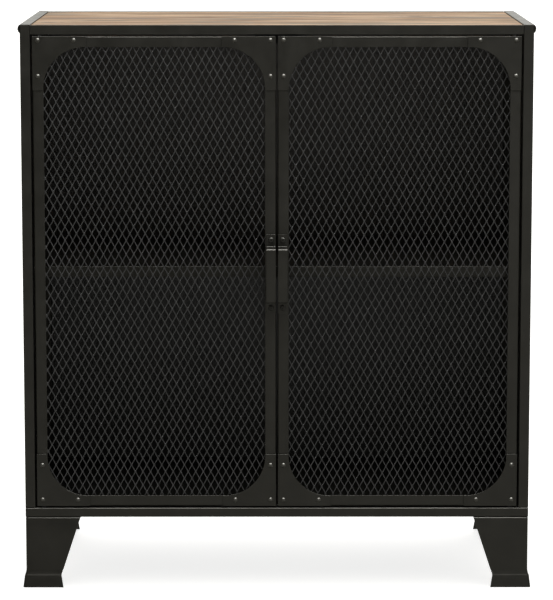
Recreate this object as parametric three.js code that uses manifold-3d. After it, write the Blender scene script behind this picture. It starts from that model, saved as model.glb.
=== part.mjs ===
// Sideboard buffet: a black steel cabinet on four folded feet, with a wood top, one shelf and two
// doors of expanded metal mesh that turn on pivot pins.
// Millimetres, +Z up. The front faces -Y and the width runs along X. The origin lies on the floor,
// under the centre of the whole outline with the handles.

import * as THREE from 'three';
import { mergeVertices } from 'three/addons/utils/BufferGeometryUtils.js';
import Module from 'manifold-3d';

// Whole object
const HEIGHT = 800; // floor to the top of the side rails
const BODY_WIDTH = 714; // over the posts
const BODY_DEPTH = 352.6; // over the posts
const GAP = 0.3; // between pieces that touch
const SHEET = 1.5; // folded steel sheet

// Carcass frame
const POST_WIDTH = 14;
const POST_DEPTH = 20;
const TOP_RAIL_HEIGHT = 13.5;
const BEAD = 3; // how far the side rails' half-round bead stands out
const BEAD_CHORD = 12;
const FACE_DROP = 0.75; // front and rear top rails end this far under the side rails
const BOTTOM_RAIL_BOTTOM = 101.5;
const BOTTOM_RAIL_HEIGHT = 13.5;
const BOTTOM_RAIL_BEND = 1.8; // outer radius of its folds

// Panels
const SIDE_PANEL_INSET = 0.5;
const SIDE_PANEL_SHEET = 1.2;
const BACK_PANEL_THICKNESS = 3;
const BACK_PANEL_INSET = 1.5;
const BOARD_DROP = 1.6; // wood surface under the side rails' top
const DECK_START = 16.5; // cabinet front to the floor panel's front edge

// Shelf
const SHELF_HEIGHT = 15;
const SHELF_TOP = 458;
const SHELF_WIDTH = 682;
const SHELF_START = 22; // cabinet front to the shelf's front lip
const SHELF_RAIL_LEG = 15;

// Feet
const FOOT_SHEET = 2;
const FOOT_INSET = 0; // foot face behind the posts' face
const FOOT_ARM_TOP = 78;
const FOOT_ARM_BEND = 50.25;
const FOOT_ARM_FLOOR = 53.1;
const SKIRT_HEIGHT = 17.2; // crease at the skirt's upper edge
const SKIRT_BENDS = [[18.2, 1.5], [21.6, 0.6], [25.5, 0]]; // height and reach of the curve above the crease
const SKIRT_STEP = 2.1; // skirt's reach at the crease
const SKIRT_FLARE = 4.4; // skirt's reach at the floor beyond the foot's face
const FOOT_BOLT_INSET = 12;
const FOOT_BOLT_RADIUS = 3;
const FOOT_BOLT_HEAD_RADIUS = 5;
const FOOT_BOLT_HEAD_HEIGHT = 4;
const FOOT_BOLT_LENGTH = 11;

// Doors
const DOOR_SIDE_GAP = 3; // to the post
const DOOR_MEETING_GAP = 3; // between the doors
const DOOR_END_GAP = 2.75; // above and below
const DOOR_RECESS = 1; // door face behind the posts' face
const DOOR_DEPTH = 14;
const DOOR_FACE = 15; // width of the frame's face
const MESH_OVERLAP = 2.75; // mesh behind the frame's face
const MESH_THICKNESS = 1.2;
const PLATE_ARM = 75;
const PLATE_THICKNESS = 1.5;
const PLATE_ARC_RADIUS = 58;
const PLATE_ARC_STEPS = 14;
const RIVET_INSET = 7.6; // from the door's outer and inner edges
const RIVET_DROP = 5.4; // from the door's top edge
const RIVET_RISE = 9; // from the door's bottom edge
const RIVET_PITCH = 50;
const RIVET_HEAD_RADIUS = 3;
const RIVET_HEAD_HEIGHT = 1.8;
const RIVET_SHANK_RADIUS = 1.6;
const RIVET_TAIL_RADIUS = 2.2;
const RIVET_TAIL_LENGTH = 1.5;

// Door pivots
const PIVOT_INSET = 10; // from the door's outer edge
const PIVOT_SETBACK = 6; // behind the door's face
const PIN_RADIUS = 2.5;
const PIN_HEAD_RADIUS = 4;
const PIN_HEAD_HEIGHT = 1;
const PIN_REACH = 8.5; // beyond the door's edge
const BUSH_BORE_RADIUS = 2.9;
const BUSH_RADIUS = 4;
const BUSH_LENGTH = 7; // past the rail's surface
const BUSH_FLANGE_RADIUS = 5.5;
const BUSH_FLANGE_HEIGHT = 1.1;

// Handles
const HANDLE_WIDTH = 13;
const HANDLE_SHEET = 2;
const HANDLE_CENTRE_X = 8.25;
const HANDLE_CENTRE_Z = 450.5;
const HANDLE_LENGTH = 77.2; // over the two legs
const HANDLE_REACH = 25; // door face to grip face
const HANDLE_TAB = 19.5;
const HANDLE_SCREW_PITCH = 96;
const HANDLE_BEND = 0.8; // inner bend radius
const SCREW_RADIUS = 2;
const SCREW_HEAD_RADIUS = 4;
const SCREW_HEAD_HEIGHT = 2.2;
const SCREW_LENGTH = 11;

// Magnetic catch and its strike plates
const CATCH_WIDTH = 60;
const CATCH_FLANGE_WIDTH = 78;
const CATCH_DEPTH = 18;
const CATCH_HEIGHT = 14;
const CATCH_AIR = 0.5; // door back to the magnets
const STRIKE_WIDTH = 20;
const STRIKE_HEIGHT = 12;
const STRIKE_INSET = 5; // door's inner edge to the strike plate

const ROUND = 24; // sides of a turned piece
const ROUND_SMALL = 12;

// Planes and axes that follow from the sizes above
const HANDLE_FRONT = HANDLE_REACH - DOOR_RECESS; // grip in front of the posts' face
const SKIRT_REACH = SKIRT_FLARE - FOOT_INSET; // skirt beyond the posts' face
const FRONT = (HANDLE_FRONT - SKIRT_REACH - BODY_DEPTH) / 2;
const REAR = FRONT + BODY_DEPTH;
const SIDE = BODY_WIDTH / 2;
const INSIDE = SIDE - POST_WIDTH; // inner face of the posts
const TOP_RAIL_BOTTOM = HEIGHT - TOP_RAIL_HEIGHT;
const BOTTOM_RAIL_TOP = BOTTOM_RAIL_BOTTOM + BOTTOM_RAIL_HEIGHT;
const FOOT_HEIGHT = BOTTOM_RAIL_BOTTOM - GAP;
const DOOR_FRONT = FRONT + DOOR_RECESS;
const DOOR_BOTTOM = BOTTOM_RAIL_TOP + DOOR_END_GAP;
const DOOR_TOP = TOP_RAIL_BOTTOM - DOOR_END_GAP;
const DOOR_HEIGHT = DOOR_TOP - DOOR_BOTTOM;
const DOOR_OUTER = INSIDE - DOOR_SIDE_GAP;
const DOOR_INNER = DOOR_MEETING_GAP / 2;
const DOOR_WIDTH = DOOR_OUTER - DOOR_INNER;
const PIVOT_X = DOOR_OUTER - PIVOT_INSET;
const PIVOT_Y = DOOR_FRONT + PIVOT_SETBACK;

const wasm = await Module();
wasm.setup();

// A closed geometry as a solid that can be cut and joined.
function solidOf(geometry) {
  const bare = geometry.clone();
  bare.deleteAttribute('normal');
  bare.deleteAttribute('uv');
  const merged = mergeVertices(bare);
  return new wasm.Manifold(new wasm.Mesh({
    numProp: 3,
    vertProperties: Float32Array.from(merged.getAttribute('position').array),
    triVerts: Uint32Array.from(merged.getIndex().array),
  }));
}

function geometryOf(solid) {
  const mesh = solid.getMesh();
  const geometry = new THREE.BufferGeometry();
  geometry.setAttribute('position', new THREE.BufferAttribute(mesh.vertProperties, 3));
  geometry.setIndex(new THREE.BufferAttribute(mesh.triVerts, 1));
  return geometry;
}

function cut(geometry, tools) {
  return geometryOf(tools.reduce((solid, tool) => solid.subtract(solidOf(tool)), solidOf(geometry)));
}

function join(geometries) {
  return geometryOf(geometries.map(solidOf).reduce((sum, solid) => sum.add(solid)));
}

// A box between two opposite corners.
function block([x0, y0, z0], [x1, y1, z1]) {
  const box = new THREE.BoxGeometry(x1 - x0, y1 - y0, z1 - z0);
  return box.translate((x0 + x1) / 2, (y0 + y1) / 2, (z0 + z1) / 2);
}

// An upright round piece, from a profile of [radius, height] points that starts and ends on the axis,
// listed from its bottom to its top.
function turned(profile, sides) {
  const points = profile.map(([radius, height]) => new THREE.Vector2(radius, height));
  return new THREE.LatheGeometry(points, sides).rotateX(Math.PI / 2);
}

function uprightCylinder(radius, z0, z1, sides) {
  return turned([[0, z0], [radius, z0], [radius, z1], [0, z1]], sides);
}

// A round hole along Y, from the front at y0 to the back at y1.
function boreAlongY(radius, x, z, y0, y1, sides) {
  return new THREE.CylinderGeometry(radius, radius, y1 - y0, sides).translate(x, (y0 + y1) / 2, z);
}

function outlineOf(points) {
  return new THREE.Shape(points.map(([a, b]) => new THREE.Vector2(a, b)));
}

// A shape drawn in Y and Z, extruded along +X from x = 0.
function extrudedAlongX(shape, length, curveSegments = 12) {
  const geometry = new THREE.ExtrudeGeometry(shape, { depth: length, bevelEnabled: false, curveSegments });
  const toYZ = new THREE.Matrix4().makeBasis(
    new THREE.Vector3(0, 1, 0), new THREE.Vector3(0, 0, 1), new THREE.Vector3(1, 0, 0));
  return geometry.applyMatrix4(toYZ);
}

// A shape drawn in X and Z, extruded along Y from y = 0 to y = length.
function extrudedAlongY(shape, length, curveSegments = 12) {
  const geometry = new THREE.ExtrudeGeometry(shape, { depth: length, bevelEnabled: false, curveSegments });
  return geometry.rotateX(Math.PI / 2).translate(0, length, 0);
}

// An angle section in Y and Z: an upright leg at y = 0 and a flat leg at z = 0, extruded along X.
function angleAlongX(length, upright, flat, sheet) {
  const outline = outlineOf([[0, 0], [flat, 0], [flat, sheet], [sheet, sheet], [sheet, upright], [0, upright]]);
  return extrudedAlongX(outline, length);
}

function steel(color, roughness) {
  return new THREE.MeshStandardMaterial({ color, roughness, metalness: 0.6 });
}

const MATERIALS = {
  coat: () => steel(0x2a2a28, 0.5),
  coatDark: () => steel(0x1d1d1c, 0.6),
  mesh: () => steel(0x383836, 0.45),
  plated: () => steel(0xb9b9b4, 0.3),
  fibreboard: () => new THREE.MeshStandardMaterial({ color: 0x1f1e1d, roughness: 0.8, metalness: 0 }),
  wood: () => new THREE.MeshStandardMaterial({ color: 0xb39a80, roughness: 0.6, metalness: 0 }),
  nylon: () => new THREE.MeshStandardMaterial({ color: 0x1b1b1b, roughness: 0.7, metalness: 0 }),
};

const sideboard = new THREE.Group();

function add(parent, name, geometry, material, position = [0, 0, 0], turn = 0) {
  const mesh = new THREE.Mesh(geometry, MATERIALS[material]());
  mesh.name = name;
  mesh.position.set(...position);
  mesh.rotation.z = turn;
  parent.add(mesh);
  return mesh;
}

// Posts: square tube, closed at the top and open at the foot, centred on their own section.
function postGeometry() {
  const height = HEIGHT - BOTTOM_RAIL_TOP - GAP;
  const x = POST_WIDTH / 2;
  const y = POST_DEPTH / 2;
  const tube = block([-x, -y, 0], [x, y, height]);
  const hollow = block([SHEET - x, SHEET - y, -SHEET], [x - SHEET, y - SHEET, height - SHEET]);
  return cut(tube, [hollow]);
}

function addPosts() {
  const x = SIDE - POST_WIDTH / 2;
  const z = BOTTOM_RAIL_TOP + GAP;
  const rows = { front: FRONT + POST_DEPTH / 2, rear: REAR - POST_DEPTH / 2 };
  for (const [row, y] of Object.entries(rows)) {
    add(sideboard, `post_${row}_left`, postGeometry(), 'coat', [-x, y, z]);
    add(sideboard, `post_${row}_right`, postGeometry(), 'coat', [x, y, z]);
  }
}

// Side rail for the left, with x = 0 on the posts' outer face and y = 0 at mid depth: a channel that
// is open towards the board, with a half-round bead that runs past the posts to both ends.
function topSideRailGeometry() {
  const beadRadius = (BEAD_CHORD ** 2 / 4 + BEAD ** 2) / (2 * BEAD);
  const beadZ = TOP_RAIL_HEIGHT - BEAD_CHORD / 2;
  const halfTurn = Math.asin(BEAD_CHORD / 2 / beadRadius);
  const profile = new THREE.Shape();
  profile.moveTo(POST_WIDTH, 0);
  profile.lineTo(POST_WIDTH, TOP_RAIL_HEIGHT);
  profile.lineTo(0, TOP_RAIL_HEIGHT);
  profile.absarc(beadRadius - BEAD, beadZ, beadRadius, Math.PI - halfTurn, Math.PI + halfTurn, false);
  profile.lineTo(0, 0);
  const rail = extrudedAlongY(profile, BODY_DEPTH, 8).translate(0, -BODY_DEPTH / 2, 0);
  const postEnd = BODY_DEPTH / 2 - POST_DEPTH - GAP;
  const notches = [-1, 1].map((end) => {
    const [near, far] = [postEnd, BODY_DEPTH].map((y) => end * y).sort((a, b) => a - b);
    return block([-GAP, near, -1], [POST_WIDTH + 1, far, TOP_RAIL_HEIGHT + 1]);
  });
  const channelEnd = postEnd - SHEET;
  const channel = block([SHEET, -channelEnd, SHEET], [POST_WIDTH + 1, channelEnd, TOP_RAIL_HEIGHT - SHEET]);
  return cut(rail, [...notches, channel]);
}

// Front top rail: an angle with its face at the front, and the board lying on its flange.
// The rear one is the same piece turned round, without the bush holes.
function topCrossRailGeometry(bushHoles) {
  const length = 2 * (INSIDE - GAP);
  const rail = angleAlongX(length, TOP_RAIL_HEIGHT - FACE_DROP, POST_DEPTH, SHEET).translate(-length / 2, 0, 0);
  return cut(rail, bushHoles ? bushHolesAt(PIVOT_Y - FRONT, -1, SHEET + 1) : []);
}

// Holes that the two pivot bushes pass through, at a distance behind the front face.
function bushHolesAt(y, z0, z1) {
  return [-PIVOT_X, PIVOT_X].map((x) => (
    uprightCylinder(BUSH_RADIUS + GAP + 0.1, z0, z1, ROUND).translate(x, y, 0)));
}

// Front bottom rail: a channel closed at its ends and open to the inside of the cabinet.
function bottomCrossRailGeometry(bushHoles) {
  const bend = BOTTOM_RAIL_BEND;
  const outline = new THREE.Shape();
  outline.moveTo(POST_DEPTH, 0);
  outline.lineTo(POST_DEPTH, BOTTOM_RAIL_HEIGHT);
  outline.absarc(bend, BOTTOM_RAIL_HEIGHT - bend, bend, Math.PI / 2, Math.PI, false);
  outline.absarc(bend, bend, bend, Math.PI, Math.PI * 1.5, false);
  const outside = extrudedAlongX(outline, BODY_WIDTH, 4).translate(-SIDE, 0, 0);
  const channel = block(
    [SHEET - SIDE, SHEET, SHEET], [SIDE - SHEET, POST_DEPTH + 1, BOTTOM_RAIL_HEIGHT - SHEET]);
  const boltX = SIDE - FOOT_INSET - FOOT_BOLT_INSET;
  const boltHoles = [-boltX, boltX].map((x) => (
    uprightCylinder(FOOT_BOLT_RADIUS + GAP + 0.1, -1, SHEET + 1, ROUND_SMALL)
      .translate(x, FOOT_INSET + FOOT_BOLT_INSET, 0)));
  const topHoles = bushHoles
    ? bushHolesAt(PIVOT_Y - FRONT, BOTTOM_RAIL_HEIGHT - SHEET - 1, BOTTOM_RAIL_HEIGHT + 1) : [];
  return cut(outside, [channel, ...boltHoles, ...topHoles]);
}

function bottomSideRailGeometry() {
  const y = BODY_DEPTH / 2 - POST_DEPTH - GAP;
  const outside = block([0, -y, 0], [POST_WIDTH, y, BOTTOM_RAIL_HEIGHT]);
  const channel = block([SHEET, SHEET - y, SHEET], [POST_WIDTH + 1, y - SHEET, BOTTOM_RAIL_HEIGHT - SHEET]);
  return cut(outside, [channel]);
}

function addRails() {
  const middle = (FRONT + REAR) / 2;
  add(sideboard, 'top_rail_front', topCrossRailGeometry(true), 'coat', [0, FRONT, TOP_RAIL_BOTTOM]);
  add(sideboard, 'top_rail_rear', topCrossRailGeometry(false), 'coat', [0, REAR, TOP_RAIL_BOTTOM], Math.PI);
  add(sideboard, 'top_rail_left', topSideRailGeometry(), 'coat', [-SIDE, middle, TOP_RAIL_BOTTOM]);
  add(sideboard, 'top_rail_right', topSideRailGeometry(), 'coat', [SIDE, middle, TOP_RAIL_BOTTOM], Math.PI);
  add(sideboard, 'bottom_rail_front', bottomCrossRailGeometry(true), 'coat', [0, FRONT, BOTTOM_RAIL_BOTTOM]);
  add(sideboard, 'bottom_rail_rear', bottomCrossRailGeometry(false), 'coat',
    [0, REAR, BOTTOM_RAIL_BOTTOM], Math.PI);
  add(sideboard, 'bottom_rail_left', bottomSideRailGeometry(), 'coat', [-SIDE, middle, BOTTOM_RAIL_BOTTOM]);
  add(sideboard, 'bottom_rail_right', bottomSideRailGeometry(), 'coat',
    [SIDE, middle, BOTTOM_RAIL_BOTTOM], Math.PI);
}

// Left side panel: a folded pan whose edges turn inwards against the posts and rails.
function sidePanelGeometry() {
  const y = BODY_DEPTH / 2 - POST_DEPTH - GAP;
  const height = TOP_RAIL_BOTTOM - BOTTOM_RAIL_TOP - 2 * GAP;
  const inner = POST_WIDTH - GAP;
  const pan = block([SIDE_PANEL_INSET, -y, 0], [inner, y, height]);
  const hollow = block(
    [SIDE_PANEL_INSET + SIDE_PANEL_SHEET, SIDE_PANEL_SHEET - y, SIDE_PANEL_SHEET],
    [inner + 1, y - SIDE_PANEL_SHEET, height - SIDE_PANEL_SHEET]);
  return cut(pan, [hollow]);
}

function backPanelGeometry() {
  const x = INSIDE - GAP;
  const y = REAR - BACK_PANEL_INSET;
  return block([-x, y - BACK_PANEL_THICKNESS, BOTTOM_RAIL_TOP + GAP], [x, y, TOP_RAIL_BOTTOM - GAP]);
}

// Floor panel: a sheet lying on the front and rear rails, with both sides turned down.
function bottomPanelGeometry() {
  const x = INSIDE - GAP;
  const z = BOTTOM_RAIL_TOP + GAP;
  const sheet = block([-x, FRONT + DECK_START, z], [x, REAR - DECK_START, z + SHEET]);
  const lipY = POST_DEPTH + GAP;
  const lips = [-x, x - SHEET].map((edge) => (
    block([edge, FRONT + lipY, BOTTOM_RAIL_BOTTOM], [edge + SHEET, REAR - lipY, z + SHEET / 2])));
  return join([sheet, ...lips]);
}

// Wood board, drilled from below where the upper pivot bushes end.
function boardGeometry() {
  const x = INSIDE - GAP;
  const inset = SHEET + GAP;
  const bottom = TOP_RAIL_BOTTOM + SHEET + GAP;
  const board = block([-x, FRONT + inset, bottom], [x, REAR - inset, HEIGHT - BOARD_DROP]);
  const drilledTo = TOP_RAIL_BOTTOM + BUSH_LENGTH + 1;
  const drillings = [-PIVOT_X, PIVOT_X].map((pivotX) => (
    uprightCylinder(BUSH_RADIUS + 1, bottom - 1, drilledTo, ROUND).translate(pivotX, PIVOT_Y, 0)));
  return cut(board, drillings);
}

function addPanels() {
  const middle = (FRONT + REAR) / 2;
  const bottom = BOTTOM_RAIL_TOP + GAP;
  add(sideboard, 'side_panel_left', sidePanelGeometry(), 'coat', [-SIDE, middle, bottom]);
  add(sideboard, 'side_panel_right', sidePanelGeometry(), 'coat', [SIDE, middle, bottom], Math.PI);
  add(sideboard, 'back_panel', backPanelGeometry(), 'fibreboard');
  add(sideboard, 'bottom_panel', bottomPanelGeometry(), 'coatDark');
  add(sideboard, 'wood_top', boardGeometry(), 'wood');
}

// Shelf: a sheet with all four edges turned down.
function shelfGeometry() {
  const x = SHELF_WIDTH / 2;
  const front = FRONT + SHELF_START;
  const rear = REAR - BACK_PANEL_INSET - BACK_PANEL_THICKNESS - 1;
  const bottom = SHELF_TOP - SHELF_HEIGHT;
  const tray = block([-x, front, bottom], [x, rear, SHELF_TOP]);
  const hollow = block([SHEET - x, front + SHEET, bottom - 1], [x - SHEET, rear - SHEET, SHELF_TOP - SHEET]);
  return cut(tray, [hollow]);
}

// Angle that carries the shelf's left edge, fixed between the posts, with x = 0 on their inner face.
function shelfRailGeometry() {
  const length = BODY_DEPTH - 2 * (POST_DEPTH + GAP);
  const leg = SHELF_RAIL_LEG;
  const outline = outlineOf([[0, 0], [leg, 0], [leg, SHEET], [SHEET, SHEET], [SHEET, leg], [0, leg]]);
  return extrudedAlongY(outline, length).translate(GAP, -length / 2, 0);
}

function addShelf() {
  const middle = (FRONT + REAR) / 2;
  const z = SHELF_TOP - SHELF_HEIGHT - GAP - SHEET;
  add(sideboard, 'shelf', shelfGeometry(), 'coatDark');
  add(sideboard, 'shelf_rail_left', shelfRailGeometry(), 'coatDark', [-INSIDE, middle, z]);
  add(sideboard, 'shelf_rail_right', shelfRailGeometry(), 'coatDark', [INSIDE, middle, z], Math.PI);
}

// One level of the foot: an L of sheet with its corner at the origin, moved outwards and with arms of
// the given length.
function footOutline(outward, arm) {
  const inner = FOOT_SHEET - outward;
  return [[-outward, -outward], [arm, -outward], [arm, inner], [inner, inner], [inner, arm], [-outward, arm]];
}

// A closed body through outlines of equal point counts at rising heights.
function loft(levels) {
  const count = levels[0].outline.length;
  const positions = levels.flatMap(({ outline, z }) => outline.flatMap(([x, y]) => [x, y, z]));
  const indices = [];
  for (let level = 0; level < levels.length - 1; level += 1) {
    for (let i = 0; i < count; i += 1) {
      const a = level * count + i;
      const b = level * count + (i + 1) % count;
      indices.push(a, b, b + count, a, b + count, a + count);
    }
  }
  const contour = levels[0].outline.map(([x, y]) => new THREE.Vector2(x, y));
  const top = (levels.length - 1) * count;
  for (const [a, b, c] of THREE.ShapeUtils.triangulateShape(contour, [])) {
    indices.push(a, c, b, top + a, top + b, top + c);
  }
  const geometry = new THREE.BufferGeometry();
  geometry.setAttribute('position', new THREE.Float32BufferAttribute(positions, 3));
  geometry.setIndex(indices);
  return geometry;
}

// Foot with its outer corner at the origin and its arms along +X and +Y: two tapered walls, a skirt
// that flares out to the floor, and a flange on top for the bolt.
function footGeometry() {
  const armAt = (z) => {
    const share = (z - SKIRT_HEIGHT) / (FOOT_HEIGHT - SKIRT_HEIGHT);
    return FOOT_ARM_BEND + (FOOT_ARM_TOP - FOOT_ARM_BEND) * share;
  };
  const walls = loft([
    { z: 0, outline: footOutline(SKIRT_FLARE, FOOT_ARM_FLOOR) },
    { z: SKIRT_HEIGHT, outline: footOutline(SKIRT_STEP, FOOT_ARM_BEND) },
    ...SKIRT_BENDS.map(([z, reach]) => ({ z, outline: footOutline(reach, armAt(z)) })),
    { z: FOOT_HEIGHT, outline: footOutline(0, FOOT_ARM_TOP) },
  ]);
  const inside = FOOT_SHEET / 2;
  const reach = FOOT_ARM_TOP - FOOT_SHEET;
  const nose = FOOT_ARM_TOP / 3;
  const flangeOutline = outlineOf(
    [[inside, inside], [reach, inside], [reach, nose / 2], [nose, nose], [nose / 2, reach], [inside, reach]]);
  const flange = new THREE.ExtrudeGeometry(flangeOutline, { depth: FOOT_SHEET, bevelEnabled: false });
  flange.translate(0, 0, FOOT_HEIGHT - FOOT_SHEET);
  const hole = uprightCylinder(
    FOOT_BOLT_RADIUS + GAP + 0.1, FOOT_HEIGHT - FOOT_SHEET - 1, FOOT_HEIGHT + 1, ROUND_SMALL);
  hole.translate(FOOT_BOLT_INSET, FOOT_BOLT_INSET, 0);
  return cut(join([walls, flange]), [hole]);
}

// Hexagon bolt that holds the foot to the bottom rail from below, with z = 0 at the foot's top.
function footBoltGeometry() {
  const seat = -FOOT_SHEET - GAP;
  const head = uprightCylinder(FOOT_BOLT_HEAD_RADIUS, seat - FOOT_BOLT_HEAD_HEIGHT, seat, 6);
  const shank = uprightCylinder(FOOT_BOLT_RADIUS, seat - 1, seat + FOOT_BOLT_LENGTH, ROUND_SMALL);
  return join([head, shank]);
}

function addFeet() {
  const x = SIDE - FOOT_INSET;
  const corners = {
    front_left: { at: [-x, FRONT + FOOT_INSET], turn: 0 },
    front_right: { at: [x, FRONT + FOOT_INSET], turn: Math.PI / 2 },
    rear_right: { at: [x, REAR - FOOT_INSET], turn: Math.PI },
    rear_left: { at: [-x, REAR - FOOT_INSET], turn: -Math.PI / 2 },
  };
  for (const [corner, { at, turn }] of Object.entries(corners)) {
    add(sideboard, `foot_${corner}`, footGeometry(), 'coat', [...at, 0], turn);
    const boltX = at[0] - Math.sign(at[0]) * FOOT_BOLT_INSET;
    const boltY = at[1] - Math.sign(at[1]) * FOOT_BOLT_INSET;
    add(sideboard, `foot_bolt_${corner}`, footBoltGeometry(), 'plated', [boltX, boltY, FOOT_HEIGHT]);
  }
}

// Flanged bush for an upper pivot, with z = 0 on the rail's lower face and the bush above it.
function bushGeometry() {
  const flangeZ = -GAP - BUSH_FLANGE_HEIGHT;
  const body = turned([
    [0, flangeZ], [BUSH_FLANGE_RADIUS, flangeZ], [BUSH_FLANGE_RADIUS, -GAP],
    [BUSH_RADIUS, -GAP], [BUSH_RADIUS, BUSH_LENGTH], [0, BUSH_LENGTH],
  ], ROUND);
  return cut(body, [uprightCylinder(BUSH_BORE_RADIUS, flangeZ - 1, BUSH_LENGTH + 1, ROUND)]);
}

function addBushes() {
  for (const [side, x] of Object.entries({ left: -PIVOT_X, right: PIVOT_X })) {
    add(sideboard, `pivot_bush_${side}_top`, bushGeometry(), 'nylon', [x, PIVOT_Y, TOP_RAIL_BOTTOM]);
    const lower = add(sideboard, `pivot_bush_${side}_bottom`, bushGeometry(), 'nylon',
      [x, PIVOT_Y, BOTTOM_RAIL_TOP]);
    lower.rotation.x = Math.PI;
  }
}

// Double magnetic catch, hung from the front top rail's flange behind both doors.
function addCatch() {
  const front = DOOR_FRONT + DOOR_DEPTH + CATCH_AIR;
  const top = TOP_RAIL_BOTTOM - GAP;
  const flangeX = CATCH_FLANGE_WIDTH / 2;
  const bodyX = CATCH_WIDTH / 2;
  const flange = block([-flangeX, front, top - SHEET], [flangeX, front + CATCH_DEPTH, top]);
  const body = block([-bodyX, front, top - CATCH_HEIGHT], [bodyX, front + CATCH_DEPTH, top - SHEET / 2]);
  const middleSlot = block([-2, front - 1, top - CATCH_HEIGHT - 1], [2, front + 6, top - SHEET * 2]);
  add(sideboard, 'magnetic_catch', cut(join([flange, body]), [middleSlot]), 'nylon');
}

// Door frame in the door's own place, with x = 0 at its left edge, y = 0 at its face and z = 0 at its
// bottom: a face ring with its outer edge folded back, drilled for rivets, screws and pins.
function doorFrameGeometry(pivotX, handleX) {
  const outside = block([0, 0, 0], [DOOR_WIDTH, DOOR_DEPTH, DOOR_HEIGHT]);
  const hollow = block([SHEET, SHEET, SHEET], [DOOR_WIDTH - SHEET, DOOR_DEPTH + 1, DOOR_HEIGHT - SHEET]);
  const opening = block(
    [DOOR_FACE, -1, DOOR_FACE], [DOOR_WIDTH - DOOR_FACE, SHEET + 1, DOOR_HEIGHT - DOOR_FACE]);
  const pinHole = uprightCylinder(PIN_RADIUS + GAP, -1, DOOR_HEIGHT + 1, ROUND_SMALL);
  pinHole.translate(pivotX, PIVOT_SETBACK, 0);
  const rivetHoles = doorCorners().flatMap(({ row, x, z, signX, signZ }) => rivetPlaces(row).map(([u, v]) => (
    boreAlongY(RIVET_SHANK_RADIUS + GAP, x + signX * u, z + signZ * v, -1, SHEET + 1, 8))));
  const screwHoles = screwHeights().map((z) => (
    boreAlongY(SCREW_RADIUS + GAP, handleX, z, -1, SHEET + 1, ROUND_SMALL)));
  return cut(outside, [hollow, opening, pinHole, ...rivetHoles, ...screwHoles]);
}

// The door's four corners, each with the signs of X and Z that lead from it into the door.
function doorCorners() {
  return [
    { row: 'bottom', column: 'left', x: 0, z: 0, signX: 1, signZ: 1 },
    { row: 'bottom', column: 'right', x: DOOR_WIDTH, z: 0, signX: -1, signZ: 1 },
    { row: 'top', column: 'left', x: 0, z: DOOR_HEIGHT, signX: 1, signZ: -1 },
    { row: 'top', column: 'right', x: DOOR_WIDTH, z: DOOR_HEIGHT, signX: -1, signZ: -1 },
  ];
}

// Rivets of a corner plate, measured into the door from its corner: one in the corner and one along
// each arm.
function rivetPlaces(row) {
  const end = row === 'top' ? RIVET_DROP : RIVET_RISE;
  return [[RIVET_INSET, end], [RIVET_INSET + RIVET_PITCH, end], [RIVET_INSET, end + RIVET_PITCH]];
}

function screwHeights() {
  const middle = HANDLE_CENTRE_Z - DOOR_BOTTOM;
  return [middle - HANDLE_SCREW_PITCH / 2, middle + HANDLE_SCREW_PITCH / 2];
}

// A rivet along Y, with y = 0 under its head: a domed head in front and a flat tail behind the frame.
function rivetGeometry() {
  const grip = PLATE_THICKNESS + GAP + SHEET + GAP;
  const domeRadius = (RIVET_HEAD_RADIUS ** 2 + RIVET_HEAD_HEIGHT ** 2) / (2 * RIVET_HEAD_HEIGHT);
  const domeAngle = Math.asin(RIVET_HEAD_RADIUS / domeRadius);
  const steps = 3;
  const dome = Array.from({ length: steps + 1 }, (_, i) => {
    const angle = domeAngle * (i / steps);
    return [domeRadius * Math.sin(angle), domeRadius * (1 - Math.cos(angle)) - RIVET_HEAD_HEIGHT];
  });
  const profile = [
    ...dome, [RIVET_SHANK_RADIUS, 0], [RIVET_SHANK_RADIUS, grip], [RIVET_TAIL_RADIUS, grip],
    [RIVET_TAIL_RADIUS, grip + RIVET_TAIL_LENGTH], [0, grip + RIVET_TAIL_LENGTH],
  ];
  const points = profile.map(([radius, y]) => new THREE.Vector2(radius, y));
  return new THREE.LatheGeometry(points, 10);
}

// Corner plate with its rivets, as one riveted piece with its corner at the origin: two arms with a
// hollow arc between.
function cornerPlateGeometry({ row, signX, signZ }) {
  const arcCentre = DOOR_FACE + PLATE_ARC_RADIUS;
  const arc = Array.from({ length: PLATE_ARC_STEPS + 1 }, (_, i) => {
    const angle = (Math.PI / 2) * (i / PLATE_ARC_STEPS);
    return [arcCentre - PLATE_ARC_RADIUS * Math.sin(angle), arcCentre - PLATE_ARC_RADIUS * Math.cos(angle)];
  });
  const outline = [
    [0, 0], [PLATE_ARM, 0], [PLATE_ARM, DOOR_FACE], ...arc, [DOOR_FACE, PLATE_ARM], [0, PLATE_ARM],
  ];
  const front = -PLATE_THICKNESS - GAP;
  const shape = outlineOf(outline.map(([x, z]) => [signX * x, signZ * z]));
  const plate = extrudedAlongY(shape, PLATE_THICKNESS).translate(0, front, 0);
  const rivets = rivetPlaces(row).map(([u, v]) => rivetGeometry().translate(signX * u, front, signZ * v));
  return join([plate, ...rivets]);
}

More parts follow.
